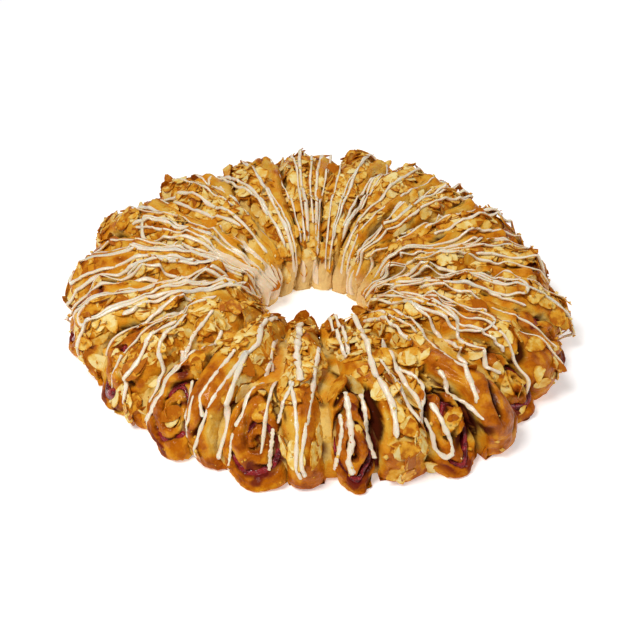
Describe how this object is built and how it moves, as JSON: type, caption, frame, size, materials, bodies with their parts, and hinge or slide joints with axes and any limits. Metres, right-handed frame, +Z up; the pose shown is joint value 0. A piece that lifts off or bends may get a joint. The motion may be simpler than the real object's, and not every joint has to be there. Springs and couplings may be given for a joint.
{
  "type": "kringle",
  "caption": "Ring of filled sweet dough cut into fanned slices, each a browned slab and a rolled coil with jam in its spiral, topped with almond flakes and icing.",
  "frame": {"origin": "middle of the flat underside, at the middle of the uneven outline", "axes": "+Z up through the hole, -Y towards the front of the picture, +X to its right"},
  "size_m": [0.343, 0.3329, 0.0614],
  "materials": {
    "crust": "egg-washed, glossy on the ridges",
    "jam": "wet, glossy",
    "almond": "toasted, satin",
    "icing": "set sugar icing, satin"
  },
  "bodies": {
    "root": {"dough": "crust", "jam_01": "jam", "jam_02": "jam", "jam_03": "jam", "jam_04": "jam", "jam_05": "jam", "jam_06": "jam", "jam_07": "jam", "jam_08": "jam", "jam_09": "jam", "jam_10": "jam", "jam_11": "jam", "jam_12": "jam", "jam_13": "jam", "jam_14": "jam", "jam_15": "jam", "jam_16": "jam", "jam_17": "jam", "jam_18": "jam"}
  },
  "joints": []
}
